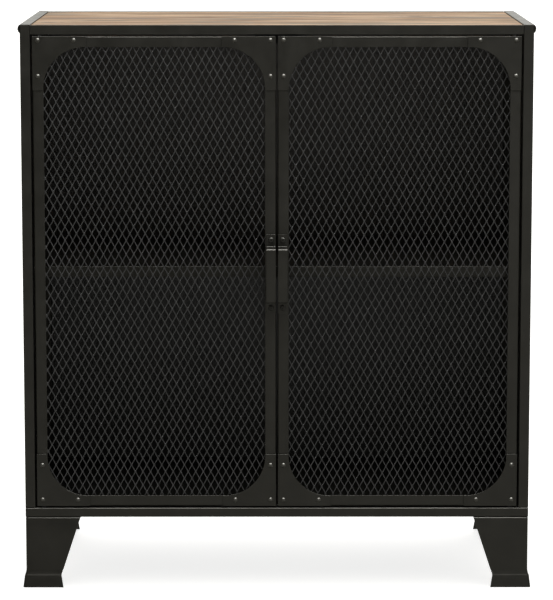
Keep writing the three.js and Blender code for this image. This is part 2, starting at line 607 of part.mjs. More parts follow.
// Bow handle of bent strip, with y = 0 on the door's face and z = 0 at mid length, centred on X.
function handleGeometry() {
  const top = HANDLE_LENGTH / 2;
  const end = top - HANDLE_SHEET + HANDLE_TAB;
  const back = -GAP;
  const front = -HANDLE_REACH;
  const inner = HANDLE_BEND;
  const outer = HANDLE_BEND + HANDLE_SHEET;
  const quarter = Math.PI / 2;
  const face = back - HANDLE_SHEET;
  const outline = new THREE.Shape();
  outline.moveTo(back, -end);
  outline.lineTo(face, -end);
  outline.absarc(face - inner, -top - inner, inner, 0, quarter, false);
  outline.absarc(front + outer, -top + outer, outer, -quarter, -2 * quarter, true);
  outline.absarc(front + outer, top - outer, outer, 2 * quarter, quarter, true);
  outline.absarc(face - inner, top + inner, inner, -quarter, 0, false);
  outline.lineTo(face, end);
  outline.lineTo(back, end);
  outline.absarc(back - outer, top - HANDLE_SHEET + outer, outer, 0, -quarter, true);
  outline.absarc(front + outer, top - outer, inner, quarter, 2 * quarter, false);
  outline.absarc(front + outer, -top + outer, inner, 2 * quarter, 3 * quarter, false);
  outline.absarc(back - outer, -top + HANDLE_SHEET - outer, outer, quarter, 0, true);
  const strip = extrudedAlongX(outline, HANDLE_WIDTH, 4).translate(-HANDLE_WIDTH / 2, 0, 0);
  const holes = [-1, 1].map((side) => (
    boreAlongY(SCREW_RADIUS + GAP, 0, side * HANDLE_SCREW_PITCH / 2, face - 1, 1, ROUND_SMALL)));
  return cut(strip, holes);
}

// Handle screw along Y, with y = 0 on the door's face: a domed head in front of the handle's tab.
function handleScrewGeometry() {
  const seat = -GAP - HANDLE_SHEET - GAP;
  const edge = SCREW_HEAD_HEIGHT / 2;
  const profile = [
    [0, seat - SCREW_HEAD_HEIGHT], [SCREW_HEAD_RADIUS * 0.6, seat - SCREW_HEAD_HEIGHT * 0.9],
    [SCREW_HEAD_RADIUS, seat - edge], [SCREW_HEAD_RADIUS, seat], [SCREW_RADIUS, seat],
    [SCREW_RADIUS, seat + SCREW_LENGTH], [0, seat + SCREW_LENGTH],
  ];
  const points = profile.map(([radius, y]) => new THREE.Vector2(radius, y));
  return new THREE.LatheGeometry(points, ROUND_SMALL);
}

// Upper pivot pin with z = 0 at the door's top edge: its head lies inside the folded frame.
function pivotPinGeometry() {
  const headTop = -SHEET - GAP;
  const headBottom = headTop - PIN_HEAD_HEIGHT;
  return turned([
    [0, headBottom], [PIN_HEAD_RADIUS, headBottom], [PIN_HEAD_RADIUS, headTop],
    [PIN_RADIUS, headTop], [PIN_RADIUS, PIN_REACH - 0.5], [PIN_RADIUS - 0.5, PIN_REACH], [0, PIN_REACH],
  ], ROUND_SMALL);
}

// Strike plate: a small angle under the door's top edge, facing the catch.
function strikePlateGeometry() {
  const outline = outlineOf([
    [0, 0], [SHEET, 0], [SHEET, STRIKE_HEIGHT], [-8, STRIKE_HEIGHT], [-8, STRIKE_HEIGHT - SHEET],
    [0, STRIKE_HEIGHT - SHEET],
  ]);
  return extrudedAlongX(outline, STRIKE_WIDTH).translate(-STRIKE_WIDTH / 2, 0, 0);
}

// One door: side is -1 for the left door and 1 for the right one.
function addDoor(name, side) {
  const door = new THREE.Group();
  const leftEdge = side < 0 ? -DOOR_OUTER : DOOR_INNER;
  door.position.set(leftEdge, DOOR_FRONT, DOOR_BOTTOM);
  sideboard.add(door);

  const pivotX = side * PIVOT_X - leftEdge;
  const handleX = side * HANDLE_CENTRE_X - leftEdge;
  add(door, `${name}_frame`, doorFrameGeometry(pivotX, handleX), 'coat');

  const border = DOOR_FACE - MESH_OVERLAP;
  const meshY = SHEET + GAP;
  const sheet = block(
    [border, meshY, border], [DOOR_WIDTH - border, meshY + MESH_THICKNESS, DOOR_HEIGHT - border]);
  add(door, `${name}_mesh`, sheet, 'mesh');

  for (const corner of doorCorners()) {
    const place = (corner.column === 'left') === (side < 0) ? 'outer' : 'inner';
    add(door, `${name}_plate_${corner.row}_${place}`, cornerPlateGeometry(corner), 'coat',
      [corner.x, 0, corner.z]);
  }

  const handleZ = HANDLE_CENTRE_Z - DOOR_BOTTOM;
  add(door, `${name}_handle`, handleGeometry(), 'coat', [handleX, 0, handleZ]);
  const [lowScrew, highScrew] = screwHeights();
  add(door, `${name}_handle_screw_bottom`, handleScrewGeometry(), 'coat', [handleX, 0, lowScrew]);
  add(door, `${name}_handle_screw_top`, handleScrewGeometry(), 'coat', [handleX, 0, highScrew]);

  add(door, `${name}_pivot_pin_top`, pivotPinGeometry(), 'plated', [pivotX, PIVOT_SETBACK, DOOR_HEIGHT]);
  const lowerPin = add(door, `${name}_pivot_pin_bottom`, pivotPinGeometry(), 'plated',
    [pivotX, PIVOT_SETBACK, 0]);
  lowerPin.rotation.x = Math.PI;

  const strikeX = side * (DOOR_INNER + STRIKE_INSET + STRIKE_WIDTH / 2) - leftEdge;
  const strikeZ = DOOR_HEIGHT - SHEET - GAP - STRIKE_HEIGHT;
  add(door, `${name}_strike_plate`, strikePlateGeometry(), 'plated', [strikeX, DOOR_DEPTH - SHEET, strikeZ]);
}

addPosts();
addRails();
addPanels();
addShelf();
addFeet();
addBushes();
addCatch();
addDoor('door_left', -1);
addDoor('door_right', 1);

export default sideboard;
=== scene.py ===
"""Finished surface of a two-door steel sideboard: black coat, expanded metal doors, wood top.

Shapes are worked out in millimetres, in the frame of the CAD model, and made in metres.
"""

import math
import random

import bmesh
import bpy
from mathutils import Matrix, Vector


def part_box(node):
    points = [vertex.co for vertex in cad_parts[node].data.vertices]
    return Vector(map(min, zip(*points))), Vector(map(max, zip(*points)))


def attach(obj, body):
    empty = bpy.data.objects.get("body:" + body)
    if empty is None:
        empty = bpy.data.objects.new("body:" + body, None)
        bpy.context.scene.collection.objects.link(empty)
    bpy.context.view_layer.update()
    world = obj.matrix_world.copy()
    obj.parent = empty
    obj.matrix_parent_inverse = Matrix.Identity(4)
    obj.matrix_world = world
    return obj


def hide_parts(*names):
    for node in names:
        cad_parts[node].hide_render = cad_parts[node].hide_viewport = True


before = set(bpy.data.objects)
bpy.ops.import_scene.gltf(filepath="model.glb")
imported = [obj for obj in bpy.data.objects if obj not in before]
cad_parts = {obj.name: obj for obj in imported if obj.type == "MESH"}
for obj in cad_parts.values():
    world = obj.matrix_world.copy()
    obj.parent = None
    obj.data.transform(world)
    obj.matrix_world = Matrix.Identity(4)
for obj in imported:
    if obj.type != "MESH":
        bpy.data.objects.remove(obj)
bpy.context.view_layer.update()

MM = 0.001
BEVEL_ANGLE = 35  # degrees between two faces from which their edge is rounded
random.seed(7)

# Sheet metal
SHEET = 1.5
FOOT_SHEET = 2
GAP = 0.3

# Panels
PAN_SHEET = 1.2
PAN_FOLD = 1.4  # middle of the sheet
LET_IN = 0.4  # how far the back panel runs into its frame
BACK_SCREW_INSET = 9
DECK_TONGUE = 4  # deck beyond its turned down sides, front and rear

# Doors
DOOR_FACE = 15  # width of the frame's face
DOOR_DEPTH = 14
FOLD_RADIUS = 1.3  # middle of the sheet in a tight fold
PLATE_ARM = 75
PLATE_ARC_RADIUS = 58
RIVET_INSET = 7.6  # from the door's side
RIVET_DROP = 5.4  # below the door's top
RIVET_RISE = 9  # above the door's bottom
RIVET_PITCH = 50
RIVET_RADIUS = 3.4
RIVET_HEIGHT = 1.8
RIVET_RIM = 0.15  # raises the dome, and leaves a shallow dimple in its middle
RIVET_SHANK_RADIUS = 1.6
RIVET_TAIL = ((2.1, 0.2), (2.2, 0.8), (1.5, 1.4), (0, 1.5))  # (radius, depth) behind the frame
PIN_RADIUS = 2.5

# Expanded metal
DIAMOND_WIDTH = 10.7
DIAMOND_HEIGHT = 19.45
STRAND_WIDTH = 1.4
STRAND_THICKNESS = 0.9
STRAND_TILT = math.radians(28)
BOND_LENGTH = 2.2
# First bond, from the panel's lower left corner
MESH_START = {"left": (-1.4, -2.0), "right": (-3.6, -4.3)}

# Handles
HANDLE_SHEET = 2
HANDLE_LENGTH = 77.2
HANDLE_BEND = 1.8  # middle of the strip
SCREW_HEAD_RADIUS = 4
SCREW_HEAD_HEIGHT = 2.2

# Feet
SKIRT_HEIGHT = 17.2
SKIRT_FLARE = 4.4  # how far the skirt stands out at the floor
SKIRT_STEP = 2.1  # and at its top edge
SKIRT_LEVELS = (0, 6, 12, 16.8)
# From the skirt to the wall: (height, how far the sheet lies outwards, height that sets the arm)
SKIRT_CURVE = ((17.5, 1.89, 17.2), (18.2, 1.5, 18.2), (19.9, 1, 18.2), (21.6, 0.6, 21.6),
               (23.55, 0.18, 21.6), (25.5, 0, 25.5))
# Length of a foot's walls, from its corner
FOOT_ARM_TOP = 78
FOOT_ARM_BEND = 50.25  # at the skirt's top edge
FOOT_ARM_FLOOR = 53.1
FOOT_FOLD = 2.5  # middle of the sheet
FOOT_TOP_BEND = 1.9  # outer radius where the walls turn in under the rail

# Coats
COAT_SHADE = (0.0122, 0.0116, 0.0089)
# Expanded metal: the black coat painted lighter, as painted light on the thin strands.
MESH_LIT_SHADE = (0.031, 0.0308, 0.0298)
COAT_TINT = (1, 0.98, 0.9, 1)  # the sheen's colour
NEUTRAL_TINT = (1, 1, 1, 1)

# Studio: strengths of the light from each direction
FRONT_WALL = 0.08
BACK_WALL = 1.35
WALL_BELOW_HORIZON = 0.25  # part of the wall's strength
CEILING = 0.9
FLOOR_BOUNCE = 0.65
SIDE_SLOPE = 0.25  # how much the right is brighter, and the left darker
FLOOR_GLOW = 0.75
WALL_TINT = (1, 0.985, 0.93, 1)
SOFTBOX_POWER = 205
FILL_POWER = 1.6
FLOOR_RADIUS = 30  # metres

# Camera: metres and degrees, with the lens and the sensor in millimetres
LENS = 174.7
SENSOR_WIDTH = 36
CAMERA_SHIFT = -0.05
CAMERA_SIDE = -0.0085
CAMERA_DISTANCE = 4.045  # from the front of the posts
CAMERA_HEIGHT = 1.038
CAMERA_TIP = 8.186  # downwards
CAMERA_TURN = -0.112


# ---------------------------------------------------------------- frame helpers

def box(node):
    """Lowest and highest corner of a CAD node, in millimetres."""
    low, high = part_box(node)
    return low / MM, high / MM


# ---------------------------------------------------------------- mesh helpers

def left_of(direction):
    return Vector((-direction.y, direction.x))


def fold(points, thickness, radius, steps=6):
    """The two sides of a sheet bent along a line of 2-D points, as two equal lists of points."""
    line = [Vector(p) for p in points]
    spine = [(line[0], left_of((line[1] - line[0]).normalized()))]
    for before, here, after in zip(line, line[1:], line[2:]):
        into, out = (here - before).normalized(), (after - here).normalized()
        turn = math.atan2(into.cross(out), into.dot(out))
        side = math.copysign(1, turn)
        start = here - into * radius * math.tan(abs(turn) / 2)
        centre = start + left_of(into) * radius * side
        for step in range(steps + 1):
            spin = Matrix.Rotation(turn * step / steps, 2)
            spine.append((centre + spin @ (start - centre), spin @ left_of(into)))
    spine.append((line[-1], left_of((line[-1] - line[-2]).normalized())))
    half = thickness / 2
    return [p + n * half for p, n in spine], [p - n * half for p, n in spine]


def tube(bm, rings, close_ends=True):
    """Joins rings of equal point counts into one skin, with an n-gon on each end."""
    rows = [[bm.verts.new(p) for p in ring] for ring in rings]
    count = len(rows[0])
    for low, high in zip(rows, rows[1:]):
        for i in range(count):
            j = (i + 1) % count
            bm.faces.new((low[i], low[j], high[j], high[i]))
    if close_ends:
        bm.faces.new(rows[0][::-1])
        bm.faces.new(rows[-1])
    return rows


def strip(bm, rings):
    """As tube, for a folded sheet: the second half of each ring runs back along the first, so quads
    close each end."""
    rows = tube(bm, rings, close_ends=False)
    count = len(rows[0])
    for row, flip in ((rows[0], True), (rows[-1], False)):
        for i in range(count // 2 - 1):
            face = (row[i], row[i + 1], row[count - 2 - i], row[count - 1 - i])
            bm.faces.new(face[::-1] if flip else face)


def along_x(outline, x):
    return [Vector((x, p[0], p[1])) for p in outline]


def along_y(outline, y):
    return [Vector((p[0], y, p[1])) for p in outline]


def along_z(outline, z):
    return [Vector((p[0], p[1], z)) for p in outline]


def block(bm, low, high):
    """An upright box between two corners."""
    outline = [(low[0], low[1]), (high[0], low[1]), (high[0], high[1]), (low[0], high[1])]
    tube(bm, [along_z(outline, low[2]), along_z(outline, high[2])])


def lathe(bm, profile, sides, turn=Matrix.Identity(4)):
    """Turns a profile of (radius, height) about Z; a radius of 0 is a pole."""
    rings = []
    for radius, height in profile:
        if radius == 0:
            rings.append([bm.verts.new(turn @ Vector((0, 0, height)))])
            continue
        angles = [2 * math.pi * k / sides for k in range(sides)]
        points = [Vector((radius * math.cos(a), radius * math.sin(a), height)) for a in angles]
        rings.append([bm.verts.new(turn @ point) for point in points])
    for low, high in zip(rings, rings[1:]):
        for i in range(sides):
            j = (i + 1) % sides
            corners = (low[i % len(low)], low[j % len(low)], high[j % len(high)], high[i % len(high)])
            unique = list(dict.fromkeys(corners))
            if len(unique) > 2:
                bm.faces.new(unique)


def finished_mesh(name, bm, material):
    """A smooth shaded mesh in metres from a bmesh in millimetres."""
    bmesh.ops.recalc_face_normals(bm, faces=bm.faces)
    bmesh.ops.scale(bm, vec=(MM, MM, MM), verts=bm.verts)
    mesh = bpy.data.meshes.new(name)
    bm.to_mesh(mesh)
    bm.free()
    mesh.polygons.foreach_set("use_smooth", [True] * len(mesh.polygons))
    mesh.materials.append(material)
    return mesh


def piece(name, bm, body, material, replaces=(), bevel=0.0, place=None):
    """A finished piece from a bmesh in millimetres, with its sharp edges rounded."""
    return place_piece(name, finished_mesh(name, bm, material), body, replaces, bevel, place)


def place_piece(name, mesh, body, replaces=(), bevel=0.0, place=None):
    """A piece from a finished mesh, which several pieces may share; place is in millimetres."""
    made = bpy.data.objects.new(name, mesh)
    bpy.context.scene.collection.objects.link(made)
    if place is not None:
        made.location = Vector(place) * MM
    if bevel:
        round_edges(made, bevel)
    else:
        made.modifiers.new("normals", "WEIGHTED_NORMAL").keep_sharp = True
    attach(made, body)
    if replaces:
        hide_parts(*replaces)
    return made


def round_edges(thing, width, segments=2):
    bevel = thing.modifiers.new("round_edges", "BEVEL")
    bevel.width = width * MM
    bevel.segments = segments
    bevel.limit_method = "ANGLE"
    bevel.angle_limit = math.radians(BEVEL_ANGLE)
    bevel.use_clamp_overlap = False
    bevel.harden_normals = True


# ---------------------------------------------------------------- materials

def set_range(node, low, high, to_low, to_high):
    """The four ends of a Map Range node."""
    ends = {"From Min": low, "From Max": high, "To Min": to_low, "To Max": to_high}
    for key, number in ends.items():
        node.inputs[key].default_value = number


class Nodes:
    """Small builder for a material's node tree."""

    def __init__(self, name, rough, specular=0.5, metallic=0.0):
        self.material = bpy.data.materials.new(name)
        self.material.use_nodes = True
        self.tree = self.material.node_tree
        self.shader = self.tree.nodes["Principled BSDF"]
        self.shader.inputs["Roughness"].default_value = rough
        self.shader.inputs["Specular IOR Level"].default_value = specular
        self.shader.inputs["Metallic"].default_value = metallic
        self.place = self.add("ShaderNodeTexCoord").outputs["Object"]

    def add(self, kind, **settings):
        node = self.tree.nodes.new(kind)
        for key, value in settings.items():
            setattr(node, key, value)
        return node

    def link(self, source, target):
        self.tree.links.new(source, target)

    def mapped(self, vector, factors, shift=(0, 0, 0)):
        """A vector times three factors, then shifted: texture cycles for each metre."""
        node = self.add("ShaderNodeMapping")
        node.inputs["Scale"].default_value = factors
        node.inputs["Location"].default_value = shift
        self.link(vector, node.inputs["Vector"])
        return node.outputs["Vector"]

    def noise(self, scale, detail=2, roughness=0.5, vector=None):
        node = self.add("ShaderNodeTexNoise")
        node.inputs["Scale"].default_value = scale
        node.inputs["Detail"].default_value = detail
        node.inputs["Roughness"].default_value = roughness
        self.link(vector or self.place, node.inputs["Vector"])
        return node.outputs["Fac"]

    def ramp(self, value, stops):
        """stops are (position, colour)."""
        node = self.add("ShaderNodeValToRGB")
        elements = node.color_ramp.elements
        while len(elements) < len(stops):
            elements.new(0.5)
        for element, (position, colour) in zip(elements, stops):
            element.position = position
            element.color = (*colour, 1)
        self.link(value, node.inputs["Fac"])
        return node.outputs["Color"]

    def remap(self, value, low, high, to_low, to_high):
        """Value from one range to another, held at the ends."""
        node = self.add("ShaderNodeMapRange")
        set_range(node, low, high, to_low, to_high)
        self.link(value, node.inputs["Value"])
        return node.outputs["Result"]

    def math(self, operation, a, b):
        """a and b are numbers or sockets."""
        node = self.add("ShaderNodeMath", operation=operation)
        for socket, value in zip(node.inputs, (a, b)):
            if isinstance(value, (int, float)):
                socket.default_value = value
            else:
                self.link(value, socket)
        return node.outputs["Value"]

    def mix(self, factor, a, b):
        """factor is a socket, a and b are colours or sockets."""
        node = self.add("ShaderNodeMix", data_type="RGBA")
        self.link(factor, node.inputs[0])
        for socket, value in ((node.inputs[6], a), (node.inputs[7], b)):  # its two colours
            if isinstance(value, tuple):
                socket.default_value = (*value, 1)
            else:
                self.link(value, socket)
        return node.outputs[2]

    def bump(self, height, distance, strength=1.0, over=None):
        """distance is in millimetres, over is the normal of a coarser bump."""
        node = self.add("ShaderNodeBump")
        node.inputs["Strength"].default_value = strength
        node.inputs["Distance"].default_value = distance * MM
        self.link(height, node.inputs["Height"])
        if over is not None:
            self.link(over, node.inputs["Normal"])
        return node.outputs["Normal"]

    def edges(self, radius):
        """1 on convex and concave edges within a radius in millimetres, and 0 on flat faces."""
        full_at = 0.35  # fall of the normals' dot product that counts as an edge
        bevel = self.add("ShaderNodeBevel", samples=4)
        bevel.inputs["Radius"].default_value = radius * MM
        normal = self.add("ShaderNodeNewGeometry").outputs["Normal"]
        dot = self.add("ShaderNodeVectorMath", operation="DOT_PRODUCT")
        self.link(bevel.outputs["Normal"], dot.inputs[0])
        self.link(normal, dot.inputs[1])
        return self.remap(dot.outputs["Value"], 1.0, 1.0 - full_at, 0.0, 1.0)

    def finish(self, colour=None, rough=None, normal=None):
        for socket, key in ((colour, "Base Color"), (rough, "Roughness"), (normal, "Normal")):
            if socket is not None:
                self.link(socket, self.shader.inputs[key])
        return self.material


def times(colour, factor):
    return tuple(c * factor for c in colour)


def powder_coat(name, shade, rough, grain=1.0, scuff_and_highlight=0.5, specular=0.35, tint=COAT_TINT):
    """Satin black powder coat: fine orange peel, faint mottling, and edges painted lighter, partly as
    scuffing from use and partly as a painted highlight.
    """
    nodes = Nodes(name, rough, specular)
    nodes.shader.inputs["Specular Tint"].default_value = tint
    mottle = nodes.noise(38, 4, 0.6)
    fine = nodes.noise(900, 2)
    base = nodes.ramp(mottle, [(0.3, times(shade, 0.86)), (0.7, times(shade, 1.16))])
    # Edge colour: lighter than the coat, partly scuffing from use and partly a painted highlight on the
    # edges.
    scuffed_and_highlit = tuple(c * 2.6 + 0.012 for c in shade)
    patches = nodes.remap(nodes.noise(60, 3, 0.7), 0.4, 0.65, 0.15, 1.0)
    edge_scuff_and_highlight = nodes.math("MULTIPLY", nodes.math("MULTIPLY", nodes.edges(0.9), patches), scuff_and_highlight)
    colour = nodes.mix(edge_scuff_and_highlight, base, scuffed_and_highlit)
    cloudy = nodes.remap(mottle, 0.3, 0.7, rough - 0.04, rough + 0.05)
    roughness = nodes.math("ADD", cloudy, nodes.remap(fine, 0.35, 0.65, -0.04, 0.04))
    peel = nodes.bump(nodes.noise(420, 2), 0.035 * grain)
    normal = nodes.bump(nodes.noise(1700, 1), 0.02 * grain, over=peel)
    return nodes.finish(colour, roughness, normal)


def rustic_wood():
    """Light brown rustic board, grain along X: dark streaks, grey patches, knots and pores."""
    nodes = Nodes("rustic_wood", 0.55, 0.15)
    wander = nodes.noise(2.2, 3, 0.5, nodes.mapped(nodes.place, (1, 2.5, 1)))
    swirl = nodes.add("ShaderNodeVectorMath", operation="SCALE")
    swirl.inputs["Scale"].default_value = 0.035
    offset = nodes.add("ShaderNodeCombineXYZ")
    nodes.link(nodes.math("SUBTRACT", wander, 0.5), offset.inputs["Y"])
    nodes.link(offset.outputs["Vector"], swirl.inputs[0])
    bent = nodes.add("ShaderNodeVectorMath", operation="ADD")
    nodes.link(nodes.place, bent.inputs[0])
    nodes.link(swirl.outputs["Vector"], bent.inputs[1])

    def stretched(x, y, shift=0.0):
        """The bent grain's coordinates, shifted so that no two noises repeat each other."""
        return nodes.mapped(bent.outputs["Vector"], (x, y, 1), (shift, shift * 1.7, 0))

    broad = nodes.noise(1, 3, 0.55, stretched(3.2, 22))
    streaks = nodes.noise(1, 5, 0.62, stretched(7, 95, 3.1))
    fibres = nodes.noise(1, 3, 0.6, stretched(26, 900, 5.3))
    greys = nodes.noise(1, 4, 0.6, stretched(6, 26, 9.7))
    base = nodes.ramp(broad, [(0.34, (0.3, 0.163, 0.082)), (0.5, (0.53, 0.315, 0.168)),
                              (0.66, (0.78, 0.53, 0.325))])
    dark = nodes.remap(streaks, 0.48, 0.36, 0.0, 0.8)
    colour = nodes.mix(dark, base, (0.2, 0.105, 0.052))
    bright = nodes.remap(streaks, 0.58, 0.72, 0.0, 0.5)
    colour = nodes.mix(bright, colour, (0.76, 0.56, 0.37))
    grey = nodes.remap(greys, 0.5, 0.6, 0.0, 0.7)
    colour = nodes.mix(grey, colour, (0.25, 0.203, 0.145))
    knots, rings = knot_masks(nodes, bent.outputs["Vector"])
    colour = nodes.mix(rings, colour, (0.17, 0.085, 0.042))
    colour = nodes.mix(knots, colour, (0.07, 0.038, 0.022))
    colour = nodes.mix(nodes.remap(fibres, 0.46, 0.3, 0.0, 0.55), colour, (0.15, 0.085, 0.047))
    roughness = nodes.remap(streaks, 0.3, 0.7, 0.68, 0.46)
    coarse = nodes.math("MULTIPLY", streaks, 0.6)
    height = nodes.math("ADD", coarse, nodes.math("MULTIPLY", fibres, 0.4))
    normal = nodes.bump(height, 0.25, 0.8)
    return nodes.finish(colour, roughness, normal)


def knot_masks(nodes, vector):
    """A dark core for a few scattered knots, and the bent rings round them."""
    cells = nodes.add("ShaderNodeTexVoronoi", feature="F1", voronoi_dimensions="2D")
    cells.inputs["Scale"].default_value = 1.0
    nodes.link(nodes.mapped(vector, (4.2, 9.5, 1)), cells.inputs["Vector"])
    separate = nodes.add("ShaderNodeSeparateColor")
    nodes.link(cells.outputs["Color"], separate.inputs["Color"])
    chosen = nodes.remap(separate.outputs["Red"], 0.62, 0.64, 0.0, 1.0)
    uneven = nodes.noise(1, 3, 0.6, nodes.mapped(nodes.place, (18, 60, 1)))
    distance = nodes.math("ADD", cells.outputs["Distance"], nodes.remap(uneven, 0, 1, -0.05, 0.05))
    core = nodes.math("MULTIPLY", nodes.remap(distance, 0.07, 0.035, 0.0, 0.85), chosen)
    wave = nodes.math("SINE", nodes.math("MULTIPLY", distance, 85), 0)
    near = nodes.remap(distance, 0.3, 0.08, 0.0, 0.7)
    nearby_rings = nodes.math("MULTIPLY", nodes.remap(wave, -0.2, 1, 0, 0.8), near)
    return core, nodes.math("MULTIPLY", nearby_rings, chosen)


def plated_steel():
    """Zinc plated steel: fine brushed streaks and a little uneven lustre."""
    nodes = Nodes("plated_steel", 0.3, metallic=1.0)
    cloud = nodes.noise(160, 3, 0.6)
    brushed = nodes.noise(1, 2, 0.6, nodes.mapped(nodes.place, (300, 300, 2600)))
    colour = nodes.ramp(cloud, [(0.3, (0.5, 0.5, 0.48)), (0.7, (0.68, 0.68, 0.66))])
    rough = nodes.remap(cloud, 0.3, 0.7, 0.26, 0.42)
    return nodes.finish(colour, rough, nodes.bump(brushed, 0.01))


def painted_fibreboard():
    """Matt black paint over fibreboard, with the board's faint flecks."""
    nodes = Nodes("painted_fibreboard", 0.75, 0.25)
    fleck = nodes.noise(260, 4, 0.7)
    colour = nodes.ramp(fleck, [(0.3, (0.032, 0.032, 0.03)), (0.75, (0.054, 0.053, 0.05))])
    rough = nodes.remap(fleck, 0.3, 0.7, 0.7, 0.85)
    return nodes.finish(colour, rough, nodes.bump(nodes.noise(700, 3, 0.6), 0.06))


def black_nylon():
    """Moulded nylon with a fine grain."""
    nodes = Nodes("moulded_nylon", 0.55, 0.4)
    grain = nodes.noise(1400, 2)
    cloud = nodes.noise(90, 2)
    colour = nodes.ramp(cloud, [(0.3, (0.009, 0.009, 0.009)), (0.7, (0.016, 0.016, 0.016))])
    return nodes.finish(colour, nodes.remap(grain, 0.3, 0.7, 0.45, 0.65), nodes.bump(grain, 0.02))


COAT = powder_coat("black_powder_coat", COAT_SHADE, 0.36)
FOOT_COAT = powder_coat("foot_powder_coat", COAT_SHADE, 0.36, grain=1.4)
# Inside the cabinet: the black coat painted darker, as painted shade on the shelf, its rails and the
# deck.
INNER_SHADED_COAT = powder_coat("inner_powder_coat_painted_shade", times(COAT_SHADE, 0.9), 0.33, scuff_and_highlight=0.2, specular=0.3)
# The strands' coat is the black coat painted lighter, painted light.
MESH_LIT_COAT = powder_coat("mesh_powder_coat_painted_lighter", MESH_LIT_SHADE, 0.4, grain=0.6, scuff_and_highlight=0.4, tint=NEUTRAL_TINT)
# Screws: the black coat painted darker, as painted shade for the shadow under the handle's grip.
HARDWARE_SHADED_COAT = powder_coat("hardware_black_painted_shade", times(COAT_SHADE, 0.7), 0.4, grain=0.4, scuff_and_highlight=0.8)
# Rivets: the black coat painted lighter, a painted highlight on the domes.
RIVET_HIGHLIGHT_COAT = powder_coat("rivet_black_painted_highlight", times(COAT_SHADE, 1.8), 0.4, grain=0.4, scuff_and_highlight=0.9, specular=0.75)
WOOD = rustic_wood()
PLATED = plated_steel()
BOARD = painted_fibreboard()
NYLON = black_nylon()


# ---------------------------------------------------------------- CAD nodes that stay

def smooth_shading():
    """Node group that shades a mesh smooth, for use as a modifier on CAD nodes."""
    group = bpy.data.node_groups.new("shade_smooth", "GeometryNodeTree")
    group.interface.new_socket("Geometry", in_out="INPUT", socket_type="NodeSocketGeometry")
    group.interface.new_socket("Geometry", in_out="OUTPUT", socket_type="NodeSocketGeometry")
    start = group.nodes.new("NodeGroupInput")
    shade = group.nodes.new("GeometryNodeSetShadeSmooth")
    end = group.nodes.new("NodeGroupOutput")
    group.links.new(start.outputs[0], shade.inputs["Geometry"])
    group.links.new(shade.outputs["Geometry"], end.inputs[0])
    return group


SMOOTH = smooth_shading()


def dress(node, material, bevel):
    """A CAD node that stays: coplanar triangles merged, edges rounded, and a finished material."""
    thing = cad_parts[node]
    thing.modifiers.new("weld", "WELD").merge_threshold = 0.01 * MM
    flat = thing.modifiers.new("flat_faces", "DECIMATE")
    flat.decimate_type = "DISSOLVE"
    flat.angle_limit = math.radians(1)
    thing.modifiers.new("smooth", "NODES").node_group = SMOOTH
    round_edges(thing, bevel, segments=3)
    thing.modifiers.new("flat_lighting", "WEIGHTED_NORMAL").keep_sharp = True
    for slot in thing.material_slots:
        slot.material = material


def dress_cabinet():
    for row in ("front", "rear"):
        for side in ("left", "right"):
            dress(f"post_{row}_{side}", COAT, bevel=0.8)
            dress(f"foot_bolt_{row}_{side}", PLATED, bevel=0.5)
        dress(f"top_rail_{row}", COAT, bevel=0.35)
        dress(f"bottom_rail_{row}", COAT, bevel=0.35)
    for side in ("left", "right"):
        dress(f"top_rail_{side}", COAT, bevel=0.5)
        dress(f"bottom_rail_{side}", COAT, bevel=0.9)
        # Shelf rails take the darker inside coat, a painted shade.
        dress(f"shelf_rail_{side}", INNER_SHADED_COAT, bevel=0.4)
        for end in ("top", "bottom"):
            dress(f"pivot_bush_{side}_{end}", NYLON, bevel=0.2)
        dress(f"door_{side}_strike_plate", PLATED, bevel=0.3)
    dress("shelf", INNER_SHADED_COAT, bevel=0.5)
    dress("magnetic_catch", NYLON, bevel=0.6)
    dress("wood_top", WOOD, bevel=0.35)


# ---------------------------------------------------------------- screws

HEAD_FORWARDS = Matrix.Rotation(math.pi / 2, 4, "X")  # from up to -Y


def pan_head_mesh(name, radius, height, shank, length):
    """Pan head screw with its head along -Y and a cross recess, seated on y = 0."""
    profile = [(0, height)]
    steps = 7
    for k in range(1, steps + 1):
        angle = math.pi / 2 * k / steps
        across, up = 0.45 + 0.55 * math.sin(angle), 0.35 + 0.65 * math.cos(angle)
        profile.append((radius * across, height * up))
    tip = 0.6  # length of the shank's tapered end
    profile += [(radius, height * 0.07), (radius * 0.96, 0), (shank, 0), (shank, tip - length),
                (shank * 0.75, -length), (0, -length)]
    bm = bmesh.new()
    lathe(bm, profile, 32, HEAD_FORWARDS)
    head = loose_object("pan_head_blank", bm)
    # (y, half length, half width) of a slot, clear of the head and at the recess's floor; the last two
    # are parts of the head's radius
    slot_ends = ((-height - 1, 0.475, 0.125), (-height * 0.45, 0.225, 0.09))
    cutters = []
    for turn in (0, math.pi / 2):
        spin = Matrix.Rotation(turn, 2)
        rings = []
        for y, reach, width in slot_ends:
            corners = [(-reach, -width), (reach, -width), (reach, width), (-reach, width)]
            rings.append(along_y([spin @ (Vector(c) * radius) for c in corners], y))
        cutter_bm = bmesh.new()
        tube(cutter_bm, rings)
        cutter = loose_object("recess_cutter", cutter_bm)
        cutters.append(cutter)
        recess = head.modifiers.new("recess", "BOOLEAN")
        recess.operation = "DIFFERENCE"
        recess.object = cutter
        recess.solver = "EXACT"
    bpy.context.view_layer.update()
    evaluated = head.evaluated_get(bpy.context.evaluated_depsgraph_get())
    finished = bpy.data.meshes.new_from_object(evaluated)
    for thing in (head, *cutters):
        bpy.data.objects.remove(thing)
    finished.transform(Matrix.Scale(MM, 4))
    finished.name = name
    sharpen(finished, angle=40)
    finished.materials.clear()
    # Screw heads take the coat painted darker, a painted shade.
    finished.materials.append(HARDWARE_SHADED_COAT)
    return finished


